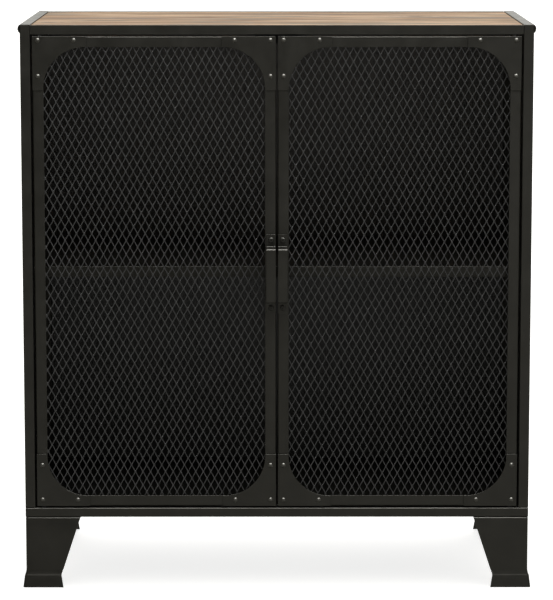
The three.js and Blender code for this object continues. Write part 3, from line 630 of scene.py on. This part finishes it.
def loose_object(name, bm):
    """A working object from a bmesh, kept in millimetres."""
    bmesh.ops.recalc_face_normals(bm, faces=bm.faces)
    mesh = bpy.data.meshes.new(name)
    bm.to_mesh(mesh)
    bm.free()
    made = bpy.data.objects.new(name, mesh)
    bpy.context.scene.collection.objects.link(made)
    return made


def sharpen(mesh, angle):
    """Smooth shading, with edges past an angle in degrees kept sharp."""
    bm = bmesh.new()
    bm.from_mesh(mesh)
    for edge in bm.edges:
        edge.smooth = len(edge.link_faces) == 2 and edge.calc_face_angle(0) < math.radians(angle)
    for face in bm.faces:
        face.smooth = True
    bm.to_mesh(mesh)
    bm.free()


PAN_HEAD = pan_head_mesh("pan_head_screw", SCREW_HEAD_RADIUS, SCREW_HEAD_HEIGHT, shank=2, length=9)
BACK_SCREW = pan_head_mesh("back_screw", radius=3, height=1.2, shank=1.4, length=6)
BACK_SCREW.transform(Matrix.Rotation(math.pi, 4, "Z"))


# ---------------------------------------------------------------- panels

def make_side_panel(side):
    """A pan with round folds, pressed tight between the posts and rails."""
    node = f"side_panel_{side}"
    low, high = box(node)
    outer, inner = (low.x, high.x) if side == "left" else (high.x, low.x)
    inwards = math.copysign(1, inner - outer)
    half = PAN_SHEET / 2
    y0, y1 = low.y - GAP, high.y + GAP
    z0, z1 = low.z - GAP, high.z + GAP
    face = outer + inwards * half
    line = [(inner, y0 + half), (face, y0 + half), (face, y1 - half), (inner, y1 - half)]
    one, other = fold(line, PAN_SHEET, PAN_FOLD)
    bm = bmesh.new()
    strip(bm, [along_z(one + other[::-1], z) for z in (z0, z1)])
    hem = sorted((outer + inwards * PAN_SHEET * 0.6, inner))  # starts inside the face's sheet
    for bottom in (z0, z1 - PAN_SHEET):
        block(bm, (hem[0], y0 + PAN_FOLD, bottom), (hem[1], y1 - PAN_FOLD, bottom + PAN_SHEET))
    piece(f"{node}_pan", bm, "cabinet", COAT, [node], bevel=0.3)


def spread(low, high, count):
    """Evenly spaced numbers from low to high."""
    return [low + (high - low) * k / (count - 1) for k in range(count)]


def make_back_panel():
    """A board let into the frame round it, held by small screws along all four edges."""
    low, high = box("back_panel")
    grow = Vector((LET_IN, 0, LET_IN))
    bm = bmesh.new()
    block(bm, low - grow, high + grow)
    piece("back_panel_board", bm, "cabinet", BOARD, ["back_panel"], bevel=0.5)
    inset = BACK_SCREW_INSET
    xs = spread(low.x + inset, high.x - inset, 4)
    zs = spread(low.z + inset, high.z - inset, 5)
    places = [(x, z) for x in (xs[0], xs[-1]) for z in zs]
    places += [(x, z) for x in xs[1:-1] for z in (zs[0], zs[-1])]
    for number, (x, z) in enumerate(places, 1):
        screw = place_piece(f"back_screw_{number}", BACK_SCREW, "cabinet",
                            place=(x, high.y, z))
        screw.rotation_euler.y = random.uniform(0, math.pi / 2)


def make_floor_panel():
    """Deck with both sides turned down against the side rails."""
    low, high = box("bottom_panel")
    half = SHEET / 2
    x0, x1 = low.x - GAP, high.x + GAP
    top = high.z - half
    line = [(x0 + half, low.z), (x0 + half, top), (x1 - half, top), (x1 - half, low.z)]
    one, other = fold(line, SHEET, FOLD_RADIUS)
    bm = bmesh.new()
    strip(bm, [along_y(one + other[::-1], y) for y in (low.y + DECK_TONGUE, high.y - DECK_TONGUE)])
    tongue = DECK_TONGUE + 0.5  # runs a little into the folded part
    for start, end in ((low.y, low.y + tongue), (high.y - tongue, high.y)):
        block(bm, (x0, start, high.z - SHEET), (x1, end, high.z))
    # The deck takes the darker inside coat, a painted shade.
    piece("bottom_panel_deck", bm, "cabinet", INNER_SHADED_COAT, ["bottom_panel"], bevel=0.3)


def make_panels():
    for side in ("left", "right"):
        make_side_panel(side)
    make_back_panel()
    make_floor_panel()


# ---------------------------------------------------------------- doors

def make_door_frame(side):
    """The door's frame: a sheet ring whose outer edge is folded back with a round bend."""
    low, high = box(f"door_{side}_frame")
    face = low.y
    line = [(SHEET / 2, DOOR_DEPTH), (SHEET / 2, SHEET / 2), (DOOR_FACE, SHEET / 2)]
    outer, inner = fold(line, SHEET, FOLD_RADIUS)
    profile = outer + inner[::-1]
    bm = bmesh.new()
    corners = ((low.x, low.z, 1, 1), (high.x, low.z, -1, 1),
               (high.x, high.z, -1, -1), (low.x, high.z, 1, -1))
    rows = [[bm.verts.new((x + sx * u, face + v, z + sz * u)) for u, v in profile]
            for x, z, sx, sz in corners]
    count = len(profile)
    for here, following in zip(rows, rows[1:] + rows[:1]):
        for i in range(count):
            j = (i + 1) % count
            bm.faces.new((here[i], here[j], following[j], following[i]))
    name = f"door_{side}_frame"
    piece(f"{name}_folded", bm, f"door_{side}", COAT, [name], bevel=0.3)


def door_corners(side):
    """(row, place, x, z, sign of X, sign of Z) of a door's four corners."""
    low, high = box(f"door_{side}_frame")
    outer_is_left = side == "left"
    for row, z, sz in (("bottom", low.z, 1), ("top", high.z, -1)):
        for column, x, sx in (("left", low.x, 1), ("right", high.x, -1)):
            place = "outer" if (column == "left") == outer_is_left else "inner"
            yield row, place, x, z, sx, sz


def make_corner_plates(side):
    """Plates on the door's corners, with a hollow arc between their two arms, and their rivets."""
    face = box(f"door_{side}_frame")[0].y
    front = face - GAP - SHEET
    centre = DOOR_FACE + PLATE_ARC_RADIUS
    steps = 20
    arc = [(centre - PLATE_ARC_RADIUS * math.sin(math.pi / 2 * k / steps),
            centre - PLATE_ARC_RADIUS * math.cos(math.pi / 2 * k / steps)) for k in range(steps + 1)]
    outline = [(0, 0), (PLATE_ARM, 0), (PLATE_ARM, DOOR_FACE), *arc,
               (DOOR_FACE, PLATE_ARM), (0, PLATE_ARM)]
    for row, place, x, z, sx, sz in door_corners(side):
        placed = [(x + sx * u, z + sz * v) for u, v in outline]
        bm = bmesh.new()
        tube(bm, [along_y(placed, front), along_y(placed, front + SHEET)])
        name = f"door_{side}_plate_{row}_{place}"
        piece(f"{name}_sheet", bm, f"door_{side}", COAT, [name], bevel=0.35)
        make_rivets(name, f"door_{side}", row, x, front, z, sx, sz)


def rivet_mesh():
    """Blind rivet along -Y: a domed head with a thin rim, a shank, and a bulbed tail."""
    dome = (RIVET_RADIUS ** 2 + RIVET_HEIGHT ** 2) / (2 * RIVET_HEIGHT)
    reach = math.asin(RIVET_RADIUS / dome)
    grip = SHEET * 2 + GAP * 2
    profile = [(0, RIVET_HEIGHT)]
    steps = 8
    for k in range(1, steps + 1):
        angle = reach * k / steps
        height = RIVET_HEIGHT - dome * (1 - math.cos(angle)) + RIVET_RIM
        profile.append((dome * math.sin(angle), height))
    seat = -0.05
    profile += [(RIVET_RADIUS, 0.02), (RIVET_RADIUS * 0.94, seat)]
    profile += [(RIVET_SHANK_RADIUS, seat), (RIVET_SHANK_RADIUS, -grip)]
    profile += [(radius, -grip - depth) for radius, depth in RIVET_TAIL]
    bm = bmesh.new()
    lathe(bm, profile, 28, HEAD_FORWARDS)
    # The domes take the lighter coat, a painted highlight.
    return finished_mesh("rivet", bm, RIVET_HIGHLIGHT_COAT)


def make_rivets(name, body, row, x, front, z, sx, sz):
    """A plate's three rivets; x and z are the door's corner, and sx and sz point into the door."""
    end = RIVET_DROP if row == "top" else RIVET_RISE
    places = {
        "corner": (RIVET_INSET, end),
        "arm": (RIVET_INSET + RIVET_PITCH, end),
        "stile": (RIVET_INSET, end + RIVET_PITCH),
    }
    for where, (u, v) in places.items():
        place_piece(f"{name}_rivet_{where}", RIVET, body,
                    place=(x + sx * u, front, z + sz * v))


RIVET = rivet_mesh()


def make_expanded_metal(side):
    """The door's panel: strands that run from bond to bond, all tilted the same way."""
    node = f"door_{side}_mesh"
    low, high = box(node)
    middle_y = (low.y + high.y) / 2
    across = Vector((math.cos(STRAND_TILT), math.sin(STRAND_TILT), 0)) * STRAND_WIDTH
    through = Vector((-math.sin(STRAND_TILT), math.cos(STRAND_TILT), 0)) * (STRAND_THICKNESS / 2)
    # A bond is two strands wide; these are its six corners as (across, through), and each strand's four
    section = ((-1, -1), (0, -1), (1, -1), (1, 1), (0, 1), (-1, 1))
    left, right = (0, 1, 4, 5), (1, 2, 3, 4)
    margin = 3  # bonds past the panel's edge, which are trimmed off
    bm = bmesh.new()
    half_width, half_height = DIAMOND_WIDTH / 2, DIAMOND_HEIGHT / 2
    start = Vector((low.x, low.z)) + Vector(MESH_START[side])
    columns = math.ceil((high.x - low.x) / half_width) + 2
    rows = math.ceil((high.z - low.z) / half_height) + 2
    bonds = {}
    for i in range(-margin, columns):
        for j in range(-margin, rows):
            if (i + j) % 2:
                continue
            centre = Vector((start.x + i * half_width, middle_y, start.y + j * half_height))
            bonds[i, j] = [[bm.verts.new(centre + across * a + through * t + Vector((0, 0, h)))
                            for a, t in section]
                           for h in (-BOND_LENGTH / 2, BOND_LENGTH / 2)]
    for bottom, top in bonds.values():
        for k in range(6):
            n = (k + 1) % 6
            bm.faces.new((bottom[k], bottom[n], top[n], top[k]))
    for (i, j), (bottom, top) in bonds.items():
        for step, leaving, arriving in ((1, right, left), (-1, left, right)):
            above = bonds.get((i + step, j + 1))
            if above is None:
                continue
            here = [top[k] for k in leaving]
            there = [above[0][k] for k in arriving]
            for k in range(4):
                n = (k + 1) % 4
                bm.faces.new((here[k], here[n], there[n], there[k]))
    trim_to(bm, low, high)
    # The strands take the lighter coat, painted light.
    piece(f"{node}_expanded", bm, f"door_{side}", MESH_LIT_COAT, [node])


def trim_to(bm, low, high):
    """Cuts a mesh along the four edges of an upright rectangle and closes the cut strands."""
    cuts = ((low, (-1, 0, 0)), (low, (0, 0, -1)), (high, (1, 0, 0)), (high, (0, 0, 1)))
    for corner, outwards in cuts:
        everything = bm.verts[:] + bm.edges[:] + bm.faces[:]
        bmesh.ops.bisect_plane(bm, geom=everything, plane_co=corner, plane_no=outwards,
                               clear_outer=True)
    loose = [e for e in bm.edges if e.is_boundary]
    bmesh.ops.holes_fill(bm, edges=loose, sides=12)  # a cut bond has fewer edges than that


def make_handle(side):
    """Bow handle of bent strip: a tab at each end, two legs and the grip."""
    node = f"door_{side}_handle"
    low, high = box(node)
    middle = (low.z + high.z) / 2
    half = HANDLE_SHEET / 2
    back, front = high.y - half, low.y + half
    leg = HANDLE_LENGTH / 2 - half
    end = (high.z - low.z) / 2
    line = [(back, -end), (back, -leg), (front, -leg), (front, leg), (back, leg), (back, end)]
    one, other = fold([(y, middle + z) for y, z in line], HANDLE_SHEET, HANDLE_BEND, steps=8)
    outline = one + other[::-1]
    bm = bmesh.new()
    strip(bm, [along_x(outline, low.x), along_x(outline, high.x)])
    piece(f"{node}_strip", bm, f"door_{side}", COAT, [node], bevel=0.2)


def make_handle_screws(side):
    """Two screws through the handle's tabs, each turned as it happened to be driven."""
    for end in ("top", "bottom"):
        node = f"door_{side}_handle_screw_{end}"
        low, high = box(node)
        centre = (low + high) / 2
        seat = low.y + SCREW_HEAD_HEIGHT
        screw = place_piece(f"{node}_pan_head", PAN_HEAD, f"door_{side}", [node],
                            place=(centre.x, seat, centre.z))
        screw.rotation_euler.y = random.uniform(0, math.pi / 2)


def make_pivot_pins(side):
    """Turned pins with a chamfered tip and a flat head inside the folded frame."""
    for end, up in (("top", 1), ("bottom", -1)):
        node = f"door_{side}_pivot_pin_{end}"
        low, high = box(node)
        length = high.z - low.z
        head = [(0, 0), (3.6, 0), (4, 0.3), (4, 0.8), (3.8, 1)]
        shank = [(PIN_RADIUS, 1), (PIN_RADIUS, length - 0.7)]
        tip = [(2.2, length - 0.2), (1.8, length), (0, length)]
        profile = head + shank + tip
        bm = bmesh.new()
        lathe(bm, [(r, h * up) for r, h in profile], 28)
        base = low.z if up > 0 else high.z
        centre = (low + high) / 2
        piece(f"{node}_turned", bm, f"door_{side}", PLATED, [node],
              place=(centre.x, centre.y, base))


def make_doors():
    for side in ("left", "right"):
        make_door_frame(side)
        make_corner_plates(side)
        make_expanded_metal(side)
        make_handle(side)
        make_handle_screws(side)
        make_pivot_pins(side)


# ---------------------------------------------------------------- feet

def foot_section(outward, arm):
    """L section of the foot's sheet with a round fold, arms along +X and +Y from the corner."""
    middle = FOOT_SHEET / 2 - outward
    one, other = fold([(arm, middle), (middle, middle), (middle, arm)], FOOT_SHEET, FOOT_FOLD)
    return one + other[::-1]


def foot_levels(height):
    """(height, how far the sheet lies outwards, arm length) from the floor to the top."""

    def arm(z):
        """The walls narrow a little up the skirt, and widen from there to the top."""
        below = FOOT_ARM_FLOOR + (FOOT_ARM_BEND - FOOT_ARM_FLOOR) * z / SKIRT_HEIGHT
        widening = (FOOT_ARM_TOP - FOOT_ARM_BEND) * (z - SKIRT_HEIGHT) / (height - SKIRT_HEIGHT)
        return below if z < SKIRT_HEIGHT else FOOT_ARM_BEND + widening

    slope = (SKIRT_FLARE - SKIRT_STEP) / SKIRT_HEIGHT
    levels = [(z, SKIRT_FLARE - slope * z, arm(z)) for z in SKIRT_LEVELS]
    levels += [(z, outward, arm(arm_height)) for z, outward, arm_height in SKIRT_CURVE]
    middle = height * 0.6
    levels.append((middle, 0, arm(middle)))
    steps = 6
    for step in range(steps + 1):
        angle = math.pi / 2 * step / steps
        z = height - FOOT_TOP_BEND * (1 - math.sin(angle))
        levels.append((z, FOOT_TOP_BEND * (math.cos(angle) - 1), arm(z)))
    return levels


def make_foot(row, column):
    """Folded foot: two tapered walls, a skirt that flares to the floor, and a bolting flange."""
    node = f"foot_{row}_{column}"
    low, high = box(node)
    sx = 1 if column == "left" else -1
    sy = 1 if row == "front" else -1
    corner = Vector((low.x if sx > 0 else high.x, low.y if sy > 0 else high.y))
    corner += Vector((sx, sy)) * SKIRT_FLARE

    def at(section, z):
        return [Vector((corner.x + sx * x, corner.y + sy * y, z)) for x, y in section]

    bm = bmesh.new()
    strip(bm, [at(foot_section(outward, arm), z) for z, outward, arm in foot_levels(high.z)])
    inside = FOOT_SHEET * 0.6  # the flange starts inside the walls' sheet
    reach = FOOT_ARM_TOP - FOOT_SHEET
    nose = FOOT_ARM_TOP / 3  # where its slanted edges meet
    flange = [(inside, inside), (reach, inside), (reach, nose / 2), (nose * 1.1, nose * 0.95),
              (nose * 0.95, nose * 1.1), (nose / 2, reach), (inside, reach)]
    tube(bm, [at(flange, high.z - FOOT_SHEET), at(flange, high.z)])
    piece(f"{node}_folded", bm, "cabinet", FOOT_COAT, [node], bevel=0.4)


def make_feet():
    for row in ("front", "rear"):
        for column in ("left", "right"):
            make_foot(row, column)


# ---------------------------------------------------------------- stage, light and camera

def make_stage():
    """Pale floor that also glows a little, as under a light tent, so the shadow on it stays faint."""
    bpy.ops.mesh.primitive_circle_add(vertices=96, radius=FLOOR_RADIUS, fill_type="NGON")
    floor = bpy.context.object
    floor.name = "studio_floor"
    nodes = Nodes("floor_paint", 0.6, 0.2)
    colour = nodes.ramp(nodes.noise(1.5, 2), [(0.3, (0.8, 0.8, 0.8)), (0.7, (0.83, 0.83, 0.83))])
    nodes.shader.inputs["Emission Color"].default_value = NEUTRAL_TINT
    nodes.shader.inputs["Emission Strength"].default_value = FLOOR_GLOW
    floor.data.materials.append(nodes.finish(colour))
    floor.visible_glossy = False


def area_light(name, place, aim, size, power):
    """A rectangular light at one point that faces another, in metres."""
    data = bpy.data.lights.new(name, "AREA")
    data.shape = "RECTANGLE"
    data.size, data.size_y = size
    data.energy = power
    light = bpy.data.objects.new(name, data)
    bpy.context.scene.collection.objects.link(light)
    light.location = place
    light.rotation_euler = (Vector(aim) - Vector(place)).to_track_quat("-Z", "Y").to_euler()
    return light


def make_room():
    """The studio: white to the camera. As light it is dim in front, brighter behind and above."""
    world = bpy.data.worlds.new("studio")
    bpy.context.scene.world = world
    world.use_nodes = True
    tree = world.node_tree

    coordinates = tree.nodes.new("ShaderNodeTexCoord")
    direction = tree.nodes.new("ShaderNodeSeparateXYZ")
    tree.links.new(coordinates.outputs["Generated"], direction.inputs["Vector"])

    def level(axis, low, high, to_low, to_high):
        """A strength that runs smoothly from one value to another along an axis of the direction."""
        node = tree.nodes.new("ShaderNodeMapRange")
        node.interpolation_type = "SMOOTHSTEP"
        set_range(node, low, high, to_low, to_high)
        tree.links.new(direction.outputs[axis], node.inputs["Value"])
        return node.outputs["Result"]

    def combine(operation, a, b):
        node = tree.nodes.new("ShaderNodeMath")
        node.operation = operation
        tree.links.new(a, node.inputs[0])
        tree.links.new(b, node.inputs[1])
        return node.outputs["Value"]

    whole_wall = level("Y", 0.35, 0.95, FRONT_WALL, BACK_WALL)
    wall = combine("MULTIPLY", whole_wall, level("Z", -0.12, 0.06, WALL_BELOW_HORIZON, 1))
    ceiling = level("Z", 0.3, 0.9, 0, CEILING)
    below = level("Z", -0.35, -0.02, FLOOR_BOUNCE, 0)
    bounce = combine("MULTIPLY", below, level("Z", -0.8, -0.35, 0, 1))
    side = level("X", -1, 1, 1 - SIDE_SLOPE, 1 + SIDE_SLOPE)
    lit = combine("MULTIPLY", combine("ADD", combine("ADD", wall, ceiling), bounce), side)
    seen = tree.nodes.new("ShaderNodeMix")
    seen.inputs["B"].default_value = 1.0
    camera_ray = tree.nodes.new("ShaderNodeLightPath").outputs["Is Camera Ray"]
    tree.links.new(camera_ray, seen.inputs["Factor"])
    tree.links.new(lit, seen.inputs["A"])
    tint = tree.nodes.new("ShaderNodeMix")
    tint.data_type = "RGBA"
    tint.inputs["A"].default_value = WALL_TINT
    tint.inputs["B"].default_value = NEUTRAL_TINT
    tree.links.new(camera_ray, tint.inputs["Factor"])
    background = tree.nodes["Background"]
    tree.links.new(seen.outputs["Result"], background.inputs["Strength"])
    tree.links.new(tint.outputs["Result"], background.inputs["Color"])


def make_light():
    """The room, a softbox that only adds sheen, and a weak fill through the doors' mesh."""
    make_room()
    softbox = area_light("overhead_softbox", place=(0.4, -1.2, 2.6), aim=(0, 0, 0.5),
                         size=(2.4, 0.9), power=SOFTBOX_POWER)
    softbox.visible_diffuse = False
    fill = area_light("low_fill", place=(0.8, -3.0, 0.3), aim=(0.1, 0, 0.45),
                      size=(1.2, 0.5), power=FILL_POWER)
    fill.visible_camera = False


def make_camera():
    """Camera a metre up and four metres in front, tipped down a little, with a long lens."""
    data = bpy.data.cameras.new("camera")
    data.lens = LENS
    data.sensor_width = SENSOR_WIDTH
    data.shift_y = CAMERA_SHIFT
    data.clip_end = 60
    camera = bpy.data.objects.new("camera", data)
    bpy.context.scene.collection.objects.link(camera)
    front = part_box("post_front_left")[0].y
    camera.location = (CAMERA_SIDE, front - CAMERA_DISTANCE, CAMERA_HEIGHT)
    camera.rotation_euler = (math.radians(90 - CAMERA_TIP), 0, math.radians(CAMERA_TURN))
    bpy.context.scene.camera = camera
    bpy.context.scene.view_settings.view_transform = "Standard"


dress_cabinet()
make_panels()
make_doors()
make_feet()
make_stage()
make_light()
make_camera()

bpy.context.view_layer.update()
